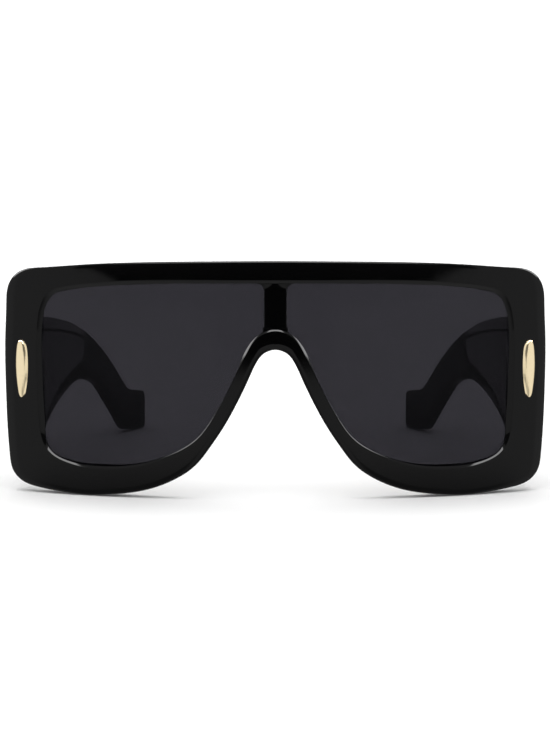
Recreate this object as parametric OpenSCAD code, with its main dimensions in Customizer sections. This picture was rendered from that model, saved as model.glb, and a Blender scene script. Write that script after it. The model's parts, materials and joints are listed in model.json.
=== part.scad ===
// Oversized flat-top sunglasses: a wrapped mask front with two tinted lenses, and wide folding temples.
// The front faces -Y and Z is up. The glasses stand on z = 0, on the lobes of the front and the temple tips.
// Pieces of one side are modelled at +X and mirrored for the left side, which is at -X.

/* [Front] */
// Width of the front
front_w = 151.4; // [144:0.2:158]
// Height of the front
front_h = 64.5; // [60:0.1:70]
// Radius of the front's wrap, seen from above
wrap_r = 190; // [170:5:240]
// Thickness of the rim, from front to back
rim_t = 5; // [4.7:0.1:6]
// Rounding of the rim's outer edges
rim_edge = 0.8; // [0.4:0.1:1.2]
// Height of the brow bar over the lenses
brow_h = 5.1; // [4.2:0.1:6]
// Width of the rim at the sides
side_w = 9.8; // [9.4:0.1:11]
// Height of the rim under the lenses
cheek_h = 7.6; // [6:0.1:9]
// Width of the nose gap at its foot
nose_w = 54.7; // [50:0.1:60]
// Height of the nose arch's underside
arch_h = 40.8; // [37:0.1:43]
// Width of the rim beside the nose
nose_rim_w = 3.8; // [3.4:0.1:4.6]
// Thickness of the nose arch
arch_t = 5.1; // [4.4:0.1:6]
// Usual width of the bevel round the lens opening
bevel_w = 1.3; // [1:0.1:1.6]
// Depth of the bevel round the lens opening
bevel_d = 1; // [0.6:0.1:1.2]
// Chamfer round the opening on the rear face
rear_chamfer = 0.5; // [0.3:0.1:0.8]

/* [Centre bar] */
// Width of the bar between the lenses
bar_w = 6.1; // [5:0.1:7]
// Depth of the bar's face behind the rim's face
bar_recess = 1; // [0.6:0.1:1.1]
// Fillet where the bar meets the brow bar
bar_fillet = 1.6; // [1:0.1:2.2]

/* [Lenses] */
// Thickness of a lens
lens_t = 2; // [1.6:0.1:2.2]
// Depth of the lens's face behind the rim's face
lens_set = 1.8; // [1.7:0.05:2]
// How far the lens reaches under the rim's lip
lens_hold = 1.5; // [1.2:0.1:1.7]
// Clearance on each face of a lens in its groove
lens_gap = 0.1; // [0.08:0.01:0.15]
// Clearance at a lens's edge in its groove
lens_edge_gap = 0.2; // [0.1:0.05:0.3]

/* [Gilt drops] */
// Length of a drop
drop_l = 17.6; // [12:0.1:20]
// Radius of the round that a drop is cut from
drop_r = 2.15; // [1.7:0.05:2.4]
// Depth of that round's axis behind the rim's face
drop_sink = 0.85; // [0.5:0.05:1]
// Distance of a drop's middle from the end of the front
drop_in = 5.5; // [4.8:0.1:6]
// Radius of a drop's pins
drop_pin_r = 0.5; // [0.4:0.05:0.7]
// Length of a drop's pins
drop_pin_l = 2.4; // [1.5:0.1:3]

/* [Hinges] */
// Height of the hinges' and drops' middle
hinge_z = 34.5; // [30:0.5:37]
// Distance of the hinge axis from the end of the front
hinge_in = 8.7; // [8.3:0.1:9.2]
// Radius of a knuckle
knuckle_r = 1.3; // [1.15:0.05:1.5]
// Height of a knuckle
knuckle_h = 2; // [1.6:0.1:2.6]
// Radius of the hinge screw
screw_r = 0.7; // [0.5:0.05:0.8]
// Radius of the hinge screw's head
screw_head_r = 1.1; // [1:0.05:1.2]
// Height of the hinge screw's head
screw_head_h = 0.7; // [0.5:0.1:1]
// Width of the slot in a screw's head
slot_w = 0.35; // [0.25:0.05:0.5]
// Depth of the slot in a screw's head
slot_d = 0.35; // [0.2:0.05:0.4]
// Thickness of a hinge leaf
leaf_t = 1; // [0.8:0.1:1.2]
// Width of the front leaf
front_leaf_w = 6; // [5.4:0.1:6.4]
// Length of the temple leaf
temple_leaf_l = 12.5; // [10:0.5:14]
// Radius of a rivet
rivet_r = 0.6; // [0.5:0.05:0.7]
// Radius of a rivet's head
rivet_head_r = 1; // [0.85:0.05:1.1]
// Height of a rivet's head
rivet_head_h = 0.4; // [0.3:0.05:0.6]
// Length of a rivet
rivet_l = 3.6; // [3:0.1:3.8]

/* [End blocks] */
// How far an end block stands behind the rim
block_proud = 0.4; // [0.2:0.1:1]
// Height of an end block's lower end
block_low = 9; // [8:0.5:14]
// Height of an end block's upper end
block_top = 48; // [44:0.5:50]
// Slope of an end block's ends
block_slope = 2; // [1:0.1:3]

/* [Temples] */
// Length of a temple along its inner face
temple_l = 125.4; // [118:0.2:135]
// Height of a temple's top edge at the hinge
temple_top = 49; // [47:0.5:52]
// Thickness of a temple at the hinge
temple_t = 5; // [4.8:0.1:5.4]
// Thickness of a temple at its tip, with the step of the inner panel
tip_t = 4.7; // [4.3:0.1:5.2]
// Lean of a temple's front run towards the head, in degrees
panel_lean = 2.7; // [1:0.1:4]
// Lean of a temple's rear run towards the head, in degrees
tail_lean = 20.9; // [18:0.1:22]
// Length of the bend between the two runs
bend_l = 7; // [6:0.5:10]
// Depth of the tail's inner face behind the raised inner panel
panel_depth = 0.8; // [0.4:0.1:1]
// Width of the inner bevel along the top edge
top_bevel_w = 3.6; // [2:0.1:4]
// Width of the inner bevel along the underside
under_bevel_w = 2.6; // [2:0.1:3.5]
// Depth of the inner bevels
temple_bevel_d = 1.5; // [0.8:0.1:2]
// Rounding of a temple's edges
temple_edge = 0.7; // [0.4:0.1:1]
// Radius of the corners at a temple's tip
tip_r = 2; // [1:0.1:3]

/* [Core wires] */
// Radius of the wire inside a temple
core_r = 0.7; // [0.5:0.05:0.8]

/* [Nose pads] */
// Height of a nose pad behind the rim
pad_h = 2.8; // [1.5:0.1:3.5]
// Width of a nose pad on the rim
pad_w = 2.3; // [1.8:0.1:2.5]

/* [Clearances] */
// Running clearance of the screw in the knuckles
running_gap = 0.05; // [0.02:0.01:0.1]
// Clearance round pieces that are let in
fit_gap = 0.03; // [0.02:0.01:0.06]
// Clearance between knuckles, and from them to the end block
knuckle_gap = 0.1; // [0.06:0.01:0.2]
// Clearance from the knuckles to a temple's inner face
side_gap = 0.2; // [0.15:0.01:0.3]
// Clearance between an end block and an open temple
butt_gap = 0.3; // [0.15:0.05:0.5]

/* [Hidden] */
$fn = 48;
// Overrun of every cut
over = 0.5 * rim_t;
// Spline steps between two outline points, and steps along a lens, a temple, a drop and a core wire
outline_steps = 2;
lens_steps = 44;
temple_steps = 52;
drop_steps = 20;
core_steps = 26;
// Share of a radius that a 45 degree point of a round edge stands in from its corner
round_share = 1 - cos(45);

// Outline of the right half of the mask, clockwise from the middle of the brow. Each row gives the outer
// point, how far the opening's edge lies in from it, and the bevel there as a share of bevel_w.
// Brow rows: shares of half front_w, of front_h, of side_w sideways and of brow_h down.
brow_shares = [
  [0, 1, 0, 1, 0.65], [0.2889, 0.9978, 0, 0.973, 0.7], [0.528, 0.9931, 0.201, 0.946, 0.81],
  [0.7133, 0.9831, 0.412, 0.947, 0.88], [0.8588, 0.9716, 0.648, 1.033, 0.96],
  [0.9205, 0.9623, 0.828, 1.113, 1], [0.9624, 0.9322, 0.965, 1.079, 1.04],
  [0.9855, 0.8855, 1.041, 0.84, 1.04], [0.9922, 0.8141, 0.992, 0.591, 1],
  [0.9989, 0.6671, 0.978, 0.193, 1.02], [1, 0.4802, 0.991, 0, 1.09]
];
// Cheek rows: shares of half front_w, of front_h, of side_w sideways and of cheek_h up.
cheek_shares = [
  [0.9957, 0.2794, 1.013, 0.13, 1.23], [0.9887, 0.1541, 1.055, 0.586, 1],
  [0.978, 0.0923, 1.118, 0.784, 0.97], [0.9417, 0.0463, 1.058, 0.94, 0.9],
  [0.8722, 0.022, 0.847, 0.976, 0.82], [0.7859, 0.0077, 0.602, 0.988, 0.79], [0.6873, 0, 0.39, 1.017, 0.78],
  [0.5749, 0.0105, 0.119, 0.958, 0.81], [0.4611, 0.0351, -0.073, 0.913, 0.77]
];
// Nose rows: shares of half nose_w, of arch_h, of nose_rim_w sideways and of arch_t up.
nose_shares = [
  [1, 0.1298, 0.543, 1.197, 0.73], [0.7901, 0.2278, 0.732, 0.922, 0.55],
  [0.6365, 0.3589, 0.752, 0.554, 0.58], [0.507, 0.4889, 0.801, 0.448, 0.58],
  [0.3827, 0.6392, 0.846, 0.36, 0.62], [0.2626, 0.8064, 0.869, 0.28, 0.69],
  [0.1834, 0.9189, 0.815, 0.321, 0.65], [0.1178, 0.9727, 0.698, 0.613, 0.88],
  [0.0591, 0.9929, 0.382, 0.913, 0.77], [0, 1, 0, 1, 0.77]
];

// Side outline of a temple: shares of temple_l from the hinge, and of temple_top above the ground.
temple_top_shares = [
  [0, 1], [0.14, 0.974], [0.25, 0.955], [0.33, 0.935], [0.491, 0.886], [0.618, 0.824], [0.678, 0.754],
  [0.735, 0.664], [0.793, 0.55], [0.829, 0.468], [0.86, 0.396], [0.884, 0.345]
];
foot_top_shares = [[0.903, 0.319], [0.955, 0.301], [1, 0.288]];
temple_under_shares = [
  [0, 0.14], [0.055, 0.155], [0.105, 0.2], [0.146, 0.254], [0.198, 0.317], [0.24, 0.352], [0.29, 0.384],
  [0.352, 0.414], [0.453, 0.452], [0.545, 0.47], [0.61, 0.468], [0.662, 0.452], [0.692, 0.434],
  [0.724, 0.395], [0.753, 0.333], [0.779, 0.27], [0.829, 0.148], [0.859, 0.068]
];
foot_under_shares = [[0.88, 0.022], [0.94, 0], [1, 0]];
// Where the bend starts, as a share of temple_l.
bend_share = 0.6;
// The core wire's points: shares of temple_l and of temple_top.
core_shares = [[0, 0.61], [0.45, 0.655], [0.6, 0.655], [0.66, 0.63], [0.84, 0.29]];
// Where a nose pad starts and ends along the nose rows, as shares of their length.
pad_from_share = 0.22;
pad_to_share = 0.72;

half_w = front_w / 2;
hinge_x = half_w - hinge_in;
hinge_y = sag(half_w) + rim_t + block_proud + knuckle_gap + knuckle_r;
block_y = -knuckle_r - knuckle_gap;
temple_x = knuckle_r + side_gap;
temple_y = block_y + butt_gap;
stack_h = 5 * knuckle_h + 4 * knuckle_gap;
stack_z = hinge_z - stack_h / 2;
front_leaf_x = -knuckle_r;
front_rivet_x = front_leaf_x + front_leaf_w * 0.7;
rivet_rise = stack_h * 0.3;
temple_rivet_ys = [temple_leaf_l * 0.42, temple_leaf_l * 0.78];
groove_front = lens_set - lens_gap;
groove_back = lens_set + lens_t + lens_gap;
drop_x = half_w - drop_in;
drop_turn = asin(drop_x / wrap_r);
drop_pin_rise = drop_l * 0.22;
bend_s = temple_l * bend_share;
bend_turn = tail_lean - panel_lean;
bend_r = bend_l / (bend_turn * PI / 180);
core_t = leaf_t + (temple_t - leaf_t) / 2;
core_gap = 2 * running_gap;
core_l = temple_l * core_shares[4][0];

// Depth of the wrapped front face behind its foremost line, at x.
function sag(x) = wrap_r - sqrt(wrap_r * wrap_r - x * x);

// Point of a spline that passes through b and c.
function spline_point(a, b, c, d, t) =
  (2 * b + (c - a) * t + (2 * a - 5 * b + 4 * c - d) * t * t + (3 * b - a - 3 * c + d) * t * t * t) / 2;
function flip(p) = [-p[0], p[1]];
// Spline through the points of a half outline whose two ends lie on the mirror plane.
function half_spline(p) =
  let (n = len(p) - 1)
    [for (i = [0:n - 1], j = [0:outline_steps - 1])
        spline_point(i == 0 ? flip(p[1]) : p[i - 1], p[i], p[i + 1], i == n - 1 ? flip(p[n - 1]) : p[i + 2],
                     j / outline_steps),
     p[n]];
// Spline through the points of an open run.
function run_spline(p) =
  let (n = len(p) - 1)
    [for (i = [0:n - 1], j = [0:outline_steps * 2 - 1])
        spline_point(p[max(i - 1, 0)], p[i], p[i + 1], p[min(i + 2, n)], j / outline_steps / 2),
     p[n]];

outer_rows = concat(
  [for (s = concat(brow_shares, cheek_shares)) [s[0] * half_w, s[1] * front_h]],
  [for (s = nose_shares) [s[0] * nose_w / 2, s[1] * arch_h]]
);
inner_rows = concat(
  [for (s = brow_shares) [s[0] * half_w - s[2] * side_w, s[1] * front_h - s[3] * brow_h]],
  [for (s = cheek_shares) [s[0] * half_w - s[2] * side_w, s[1] * front_h + s[3] * cheek_h]],
  [for (s = nose_shares) [s[0] * nose_w / 2 + s[2] * nose_rim_w, s[1] * arch_h + s[3] * arch_t]]
);
bevel_rows = [for (s = concat(brow_shares, cheek_shares, nose_shares)) [0, s[4] * bevel_w]];
outer_half = half_spline(outer_rows);
inner_half = half_spline(inner_rows);
// A closed outline from its right half.
function whole(half) = concat(half, [for (i = [len(half) - 2:-1:1]) flip(half[i])]);
outer_loop = whole(outer_half);
inner_loop = whole(inner_half);
bevel_loop = [for (p = whole(half_spline(bevel_rows))) p[1]];
loop_n = len(outer_loop);
half_n = len(outer_half);

// Unit normal of a closed clockwise outline, pointing away from its middle.
function loop_normal(p, i) =
  let (n = len(p), d = p[(i + 1) % n] - p[(i + n - 1) % n])
    [-d[1], d[0]] / norm(d);
// A point beside an outline, out along its normal, at depth v behind the wrapped face.
function loop_point(p, i, out, v) =
  let (q = p[i] + loop_normal(p, i) * out)
    [q[0], sag(q[0]) + v, q[1]];

// Section of the rim at one place along it, round from the opening's front edge.
function rim_section(i) =
  let (lip = -bevel_loop[i], groove = lip + lens_hold + lens_edge_gap) [
    loop_point(inner_loop, i, 0, 0),
    loop_point(inner_loop, i, lip, bevel_d),
    loop_point(inner_loop, i, lip, groove_front),
    loop_point(inner_loop, i, groove, groove_front),
    loop_point(inner_loop, i, groove, groove_back),
    loop_point(inner_loop, i, lip, groove_back),
    loop_point(inner_loop, i, lip, rim_t - rear_chamfer),
    loop_point(inner_loop, i, lip + rear_chamfer, rim_t),
    loop_point(outer_loop, i, -rim_edge, rim_t),
    loop_point(outer_loop, i, -rim_edge * round_share, rim_t - rim_edge * round_share),
    loop_point(outer_loop, i, 0, rim_t - rim_edge),
    loop_point(outer_loop, i, 0, rim_edge),
    loop_point(outer_loop, i, -rim_edge * round_share, rim_edge * round_share),
    loop_point(outer_loop, i, -rim_edge, 0)
  ];

// Skin between two neighbouring sections of m points, as pairs of triangles.
function skin(a, b, m) = [
  for (j = [0:m - 1])
    let (k = (j + 1) % m)
      each [[a * m + j, b * m + j, b * m + k], [a * m + j, b * m + k, a * m + k]]
];

// A solid swept through a list of sections, closed into a ring or capped at both ends.
module sweep(sections, ring) {
  n = len(sections);
  m = len(sections[0]);
  last = n - 1;
  polyhedron(
    points = [for (s = sections) each s],
    faces = concat(
      [for (i = [0:last - 1]) each skin(i, i + 1, m)],
      ring ? skin(last, 0, m) : [],
      ring ? [] : [for (j = [1:m - 2]) [0, j, j + 1]],
      ring ? [] : [for (j = [1:m - 2]) [last * m, last * m + j + 1, last * m + j]]
    )
  );
}

// Places a piece of the hinge: its origin is the hinge axis, +Y runs back along the temple, +X is outward.
module at_hinge() {
  translate([hinge_x, hinge_y, 0])
    rotate([0, 0, panel_lean])
      children();
}

// Places a piece on the rim's face in the middle of a gilt drop, with -Y as the face's normal.
module at_drop() {
  translate([drop_x, sag(drop_x), hinge_z])
    rotate([0, 0, drop_turn])
      children();
}

module side(left) {
  if (left)
    mirror([1, 0, 0])
      children();
  else
    children();
}

// Places a piece of one side in the finished glasses, whose footprint is centred on the origin.
module place(left) {
  translate([0, -mid_y, 0])
    side(left)
      children();
}

// Pins or bores of a drop, by radius and length.
module drop_pins(r, l) {
  for (rise = [-drop_pin_rise, drop_pin_rise])
    translate([0, 0, rise])
      rotate([-90, 0, 0])
        cylinder(r = r, h = l);
}

// Rivets of the front leaf, or their bores when they are grown.
module front_rivet_pair(grow) {
  for (rise = [-rivet_rise, rivet_rise])
    translate([front_rivet_x, block_y, hinge_z + rise])
      rotate([90, 0, 0]) {
        cylinder(r = rivet_r + grow, h = rivet_l + grow);
        cylinder(r = rivet_head_r + grow, h = rivet_head_h + grow);
      }
}

// Rivets of the temple leaf, or their bores when they are grown.
module temple_rivet_pair(grow) {
  for (y = temple_rivet_ys)
    translate([temple_x, temple_y + y, hinge_z])
      rotate([0, 90, 0]) {
        cylinder(r = rivet_r + grow, h = rivet_l + grow);
        cylinder(r = rivet_head_r + grow, h = rivet_head_h + grow);
      }
}

// The block behind each end of the rim, which the temple butts against.
module end_block() {
  inner_x = front_leaf_x - fit_gap - leaf_t / 2;
  outer_x = temple_x + temple_t;
  seat = (groove_back + rim_t) / 2;
  in_y = sag(hinge_x + inner_x) + seat - hinge_y;
  out_y = sag(hinge_x + outer_x) + seat - hinge_y;
  at_hinge()
    intersection() {
      translate([0, 0, block_low])
        linear_extrude(block_top - block_low)
          polygon([[inner_x, in_y], [outer_x, out_y], [outer_x, block_y - rim_edge],
                   [outer_x - rim_edge, block_y], [inner_x + leaf_t / 4, block_y],
                   [inner_x, block_y - leaf_t]]);
      rotate([90, 0, 90])
        translate([0, 0, inner_x - over])
          linear_extrude(outer_x - inner_x + 2 * over)
            polygon([[block_y + over, block_low + block_slope], [block_y, block_low + block_slope],
                     [in_y, block_low], [in_y - over, block_low], [in_y - over, block_top],
                     [in_y, block_top], [block_y, block_top - block_slope],
                     [block_y + over, block_top - block_slope]]);
    }
}

// The bar between the lenses, with the slots that take their inner edges.
module centre_bar() {
  top_z = front_h - brow_h - bevel_loop[0];
  low_z = arch_h + arch_t;
  reach = bar_w / 2 + bar_fillet;
  difference() {
    translate([0, rim_t, 0])
      rotate([90, 0, 0])
        linear_extrude(rim_t - bar_recess)
          difference() {
            union() {
              translate([-bar_w / 2, low_z - bevel_w])
                square([bar_w, top_z - low_z + 3 * bevel_w]);
              translate([-reach, top_z - bar_fillet])
                square([2 * reach, bar_fillet + bevel_w + rim_edge]);
            }
            for (x = [-reach, reach])
              translate([x, top_z - bar_fillet])
                circle(r = bar_fillet);
          }
    for (left = [false, true])
      side(left)
        translate([bar_w / 2 - lens_hold - lens_edge_gap, groove_front, low_z - over])
          cube([reach, groove_back - groove_front, top_z - low_z + 2 * over]);
  }
}

module front_frame() {
  color([0.03, 0.03, 0.03])
    place(false)
      difference() {
        union() {
          sweep([for (i = [0:loop_n - 1]) rim_section(i)], true);
          centre_bar();
          for (left = [false, true])
            side(left)
              end_block();
        }
        for (left = [false, true])
          side(left) {
            at_hinge() {
              translate([0, fit_gap, 0])
                front_plate(fit_gap);
              front_rivet_pair(fit_gap);
            }
            at_drop()
              translate([0, -over, 0])
                drop_pins(drop_pin_r + fit_gap, drop_pin_l + fit_gap + over);
          }
      }
}

// Edge of a lens, from the brow's middle round to the nose arch.
lens_edge = [
  for (i = [0:half_n - 1]) inner_loop[i] + loop_normal(inner_loop, i) * (lens_hold - bevel_loop[i])
];
lens_side_x = max([for (p = lens_edge) p[0]]);
lens_side_i = [for (i = [0:half_n - 1]) if (lens_edge[i][0] == lens_side_x) i][0];
lens_top = [for (i = [0:lens_side_i]) lens_edge[i]];
lens_low = [for (i = [half_n - 1:-1:lens_side_i]) lens_edge[i]];
lens_in_x = bar_w / 2 - lens_hold;

module lens(left) {
  // The steps close up towards both ends, and stop just short of the foremost point of the side.
  reach = lens_side_x - lens_in_x;
  xs = [for (j = [0:lens_steps]) lens_in_x + reach * (1 - cos(177 * j / lens_steps)) / 2];
  color([0.19, 0.18, 0.2, 0.6])
    place(left)
      sweep(
        [for (x = xs)
          let (y = sag(x) + lens_set, high = lookup(x, lens_top), low = lookup(x, lens_low))
            [[x, y, low], [x, y + lens_t, low], [x, y + lens_t, high], [x, y, high]]],
        false
      );
}

// Half outline of the round that a gilt drop is cut from: fuller at the top than at the bottom.
drop_half = [
  for (j = [1:drop_steps - 1])
    let (u = j / drop_steps)
      [drop_r * pow(max(sin(180 * pow(u, 1.12)), 0), 0.38), (u - 0.5) * drop_l]
];

module drop(left) {
  color([0.87, 0.78, 0.6])
    place(left)
      at_drop() {
        intersection() {
          translate([0, drop_sink, 0])
            rotate_extrude()
              polygon(concat([[0, -drop_l / 2]], drop_half, [[0, drop_l / 2]]));
          translate([-drop_r, -2 * drop_r - fit_gap, -drop_l])
            cube([2 * drop_r, 2 * drop_r, 2 * drop_l]);
        }
        translate([0, -2 * fit_gap, 0])
          drop_pins(drop_pin_r, drop_pin_l + 2 * fit_gap);
      }
}

// Section of a nose pad: a low ridge on the rim's rear face that leans towards the nose.
function pad_section(i, share) = [
  loop_point(outer_loop, i, -rim_edge - pad_w, rim_t + fit_gap),
  loop_point(outer_loop, i, -rim_edge - pad_w * 0.75, rim_t + share * pad_h * 0.55),
  loop_point(outer_loop, i, -rim_edge - pad_w * 0.4, rim_t + share * pad_h * 0.9),
  loop_point(outer_loop, i, -rim_edge, rim_t + share * pad_h),
  loop_point(outer_loop, i, -rim_edge * round_share, rim_t + share * pad_h * 0.85),
  loop_point(outer_loop, i, -rim_edge * round_share, rim_t + share * pad_h / 2),
  loop_point(outer_loop, i, -rim_edge, rim_t + fit_gap)
];

module nose_pad(left) {
  nose_n = outline_steps * len(nose_shares);
  first = half_n - 1 - round(nose_n * (1 - pad_from_share));
  last = half_n - 1 - round(nose_n * (1 - pad_to_share));
  color([0.04, 0.04, 0.04])
    place(left)
      sweep(
        [for (i = [first:last]) pad_section(i, 0.25 + 0.75 * sin(180 * (i - first) / (last - first)))],
        false
      );
}

// The knuckles of one leaf: the numbers of their places in the stack, from the bottom.
module knuckles(places) {
  for (i = places)
    translate([0, 0, stack_z + i * (knuckle_h + knuckle_gap)])
      children();
}

// The front leaf's plate, which is let into the end block, or its recess when it is grown.
module front_plate(grow) {
  translate([front_leaf_x - grow, block_y - leaf_t - grow, stack_z - grow])
    cube([front_leaf_w + 2 * grow, leaf_t + grow, stack_h + 2 * grow]);
}

module front_leaf(left) {
  color([0.78, 0.72, 0.55])
    place(left)
      at_hinge()
        difference() {
          union() {
            front_plate(0);
            knuckles([0, 2, 4]) {
              cylinder(r = knuckle_r, h = knuckle_h);
              translate([-knuckle_r, block_y - leaf_t / 2, 0])
                cube([knuckle_r * 1.4, leaf_t / 2 - block_y, knuckle_h]);
            }
          }
          screw_bore();
          front_rivet_pair(fit_gap);
        }
}

module screw_bore() {
  translate([0, 0, stack_z - over])
    cylinder(r = screw_r + running_gap, h = stack_h + 2 * over);
}

module temple_leaf(left) {
  color([0.78, 0.72, 0.55])
    place(left)
      at_hinge()
        difference() {
          union() {
            temple_plate(0);
            knuckles([1, 3]) {
              cylinder(r = knuckle_r, h = knuckle_h);
              translate([0, -knuckle_r * 0.4, 0])
                cube([temple_x + leaf_t / 2, knuckle_r * 1.4, knuckle_h]);
            }
          }
          screw_bore();
          temple_rivet_pair(fit_gap);
        }
}

// The temple leaf's plate, which is let into the temple's inner face, or its recess when it is grown.
module temple_plate(grow) {
  translate([temple_x, temple_y - 2 * grow, stack_z - grow])
    cube([leaf_t + grow, temple_leaf_l + 3 * grow, stack_h + 2 * grow]);
}

module front_rivets(left) {
  color([0.7, 0.68, 0.6])
    place(left)
      at_hinge()
        front_rivet_pair(0);
}

module temple_rivets(left) {
  color([0.7, 0.68, 0.6])
    place(left)
      at_hinge()
        temple_rivet_pair(0);
}

module hinge_screw(left) {
  head_z = stack_z + stack_h + fit_gap;
  color([0.75, 0.75, 0.75])
    place(left)
      at_hinge()
        difference() {
          union() {
            translate([0, 0, stack_z])
              cylinder(r = screw_r, h = stack_h + fit_gap + screw_head_h / 2);
            translate([0, 0, head_z])
              cylinder(r = screw_head_r, h = screw_head_h);
          }
          translate([-screw_head_r - slot_w, -slot_w / 2, head_z + screw_head_h - slot_d])
            cube([2 * (screw_head_r + slot_w), slot_w, slot_d + over]);
        }
}

// Run of a temple's inner face, seen from above and in the hinge's own axes: straight, bent, straight.
function bend_angle(s) = bend_turn * max(0, min(1, (s - bend_s) / bend_l));
function run_xy(s) =
  let (a = bend_angle(s), past = max(0, s - bend_s - bend_l))
    [temple_x - bend_r * (1 - cos(a)) - past * sin(a),
     temple_y + min(s, bend_s) + bend_r * sin(a) + past * cos(a)];
// A point of a temple at s along it, t out from the inner face and z up, in the hinge's own axes.
function temple_point(s, t, z) =
  let (a = bend_angle(s), p = run_xy(s))
    [p[0] + t * cos(a), p[1] + t * sin(a), z];

top_run = concat(
  run_spline([for (p = temple_top_shares) [p[0] * temple_l, p[1] * temple_top]]),
  [for (p = foot_top_shares) [p[0] * temple_l, p[1] * temple_top]]
);
under_run = concat(
  run_spline([for (p = temple_under_shares) [p[0] * temple_l, p[1] * temple_top]]),
  [for (p = foot_under_shares) [p[0] * temple_l, p[1] * temple_top]]
);

// Section of a temple at s. The corners at the tip are rounded by drop.
function temple_section(s, drop) =
  let (
    tail = max(0, min(1, (s - bend_s) / bend_l)),
    inner = panel_depth * tail + drop / 3,
    outer = temple_t + (tip_t - temple_t) * s / temple_l - drop / 3,
    edge = temple_edge,
    high = lookup(s, top_run) - drop,
    low = lookup(s, under_run) + drop,
    top_w = edge + (top_bevel_w - edge) * (1 - tail),
    under_w = edge + (under_bevel_w - edge) * (1 - tail),
    depth = edge + (temple_bevel_d - edge) * (1 - tail),
    nip = edge * 0.6
  ) [
    temple_point(s, inner, low + under_w + nip),
    temple_point(s, inner, high - top_w - nip),
    temple_point(s, inner + depth, high - nip),
    temple_point(s, inner + depth + nip, high),
    temple_point(s, outer - edge, high),
    temple_point(s, outer - edge * round_share, high - edge * round_share),
    temple_point(s, outer, high - edge),
    temple_point(s, outer, low + edge),
    temple_point(s, outer - edge * round_share, low + edge * round_share),
    temple_point(s, outer - edge, low),
    temple_point(s, inner + depth + nip, low),
    temple_point(s, inner + depth, low + nip)
  ];

// Sections round the corners of a temple's tip, and the rearmost place that they reach.
straight_l = temple_l - tip_r;
tip_sections = [
  for (a = [22.5:22.5:90]) temple_section(straight_l + tip_r * sin(a), tip_r * (1 - cos(a)))
];
rear_y = hinge_y + max([for (s = tip_sections) for (p = s) p[0] * sin(panel_lean) + p[1] * cos(panel_lean)]);
mid_y = rear_y / 2;

module temple(left) {
  color([0.03, 0.03, 0.03])
    place(left)
      at_hinge()
        difference() {
          sweep(
            concat(
              [for (j = [0:temple_steps]) temple_section(straight_l * j / temple_steps, 0)],
              tip_sections
            ),
            false
          );
          translate([-over, 0, 0])
            temple_plate(fit_gap);
          temple_plate(fit_gap);
          temple_rivet_pair(fit_gap);
          core(core_gap);
        }
}

// Section of the wire inside a temple at s, at radius r.
function core_section(s, r) = [
  for (a = [324:-36:0])
    temple_point(s, core_t + r * cos(a), lookup(s, core_run) + r * sin(a))
];
core_run = [for (p = core_shares) [p[0] * temple_l, p[1] * temple_top]];

// The wire, or its channel when it is grown: the channel is open at the hinge.
module core(grow) {
  ss = concat(
    [grow > 0 ? -over : core_r], [for (j = [1:core_steps]) core_l * j / core_steps], [core_l + core_r + grow]
  );
  sweep([for (s = ss) core_section(s, core_r + grow)], false);
}

module core_wire(left) {
  color([0.7, 0.7, 0.72])
    place(left)
      at_hinge()
        core(0);
}

front_frame();
lens(true);  // left_lens
lens(false);  // right_lens
drop(true);  // left_drop
drop(false);  // right_drop
nose_pad(true);  // left_nose_pad
nose_pad(false);  // right_nose_pad
front_leaf(true);  // left_front_leaf
front_leaf(false);  // right_front_leaf
front_rivets(true);  // left_front_rivets
front_rivets(false);  // right_front_rivets
hinge_screw(true);  // left_hinge_screw
hinge_screw(false);  // right_hinge_screw
temple(true);  // left_temple
temple(false);  // right_temple
temple_leaf(true);  // left_temple_leaf
temple_leaf(false);  // right_temple_leaf
temple_rivets(true);  // left_temple_rivets
temple_rivets(false);  // right_temple_rivets
core_wire(true);  // left_core_wire
core_wire(false);  // right_core_wire
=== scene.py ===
import json
import math

import bmesh
import bpy
import numpy as np
from mathutils import Matrix, Vector


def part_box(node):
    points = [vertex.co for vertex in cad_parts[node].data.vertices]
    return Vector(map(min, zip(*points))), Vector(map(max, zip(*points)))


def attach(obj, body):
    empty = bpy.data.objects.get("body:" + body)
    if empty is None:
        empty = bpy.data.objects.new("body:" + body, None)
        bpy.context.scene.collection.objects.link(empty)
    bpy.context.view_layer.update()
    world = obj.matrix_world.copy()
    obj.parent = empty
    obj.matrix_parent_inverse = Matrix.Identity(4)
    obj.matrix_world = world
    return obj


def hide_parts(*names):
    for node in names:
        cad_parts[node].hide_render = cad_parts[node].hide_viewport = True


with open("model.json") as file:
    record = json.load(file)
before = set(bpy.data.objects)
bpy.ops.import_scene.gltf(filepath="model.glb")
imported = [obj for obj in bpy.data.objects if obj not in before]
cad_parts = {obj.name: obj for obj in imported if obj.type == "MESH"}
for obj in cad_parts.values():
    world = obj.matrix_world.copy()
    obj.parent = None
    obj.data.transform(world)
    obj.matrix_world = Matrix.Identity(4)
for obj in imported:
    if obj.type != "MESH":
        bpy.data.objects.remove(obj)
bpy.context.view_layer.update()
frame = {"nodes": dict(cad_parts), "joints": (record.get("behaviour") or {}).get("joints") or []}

scene = bpy.context.scene
mm = 0.001  # the dictionaries below hold millimetres, the scene metres

frontLow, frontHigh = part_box("front_frame")
frontWidth = (frontHigh.x - frontLow.x) / mm
frontHeight = (frontHigh.z - frontLow.z) / mm
faceY = frontLow.y / mm  # where the wrapped face is foremost
hingePlace = {j["name"]: Vector(j["pos_m"]) / mm for j in frame["joints"]}["right_temple_fold"]
print("frame loaded: front", round(frontWidth, 1), "x", round(frontHeight, 1), "mm")

# camera

cameraSetup = {"focalPixels": 1314, "imageHeight": 733, "sensor": 36.0,
               "place": (-0.1, -422.64, 68.75), "tiltDown": 5.277, "clip": (0.01, 20)}


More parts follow.
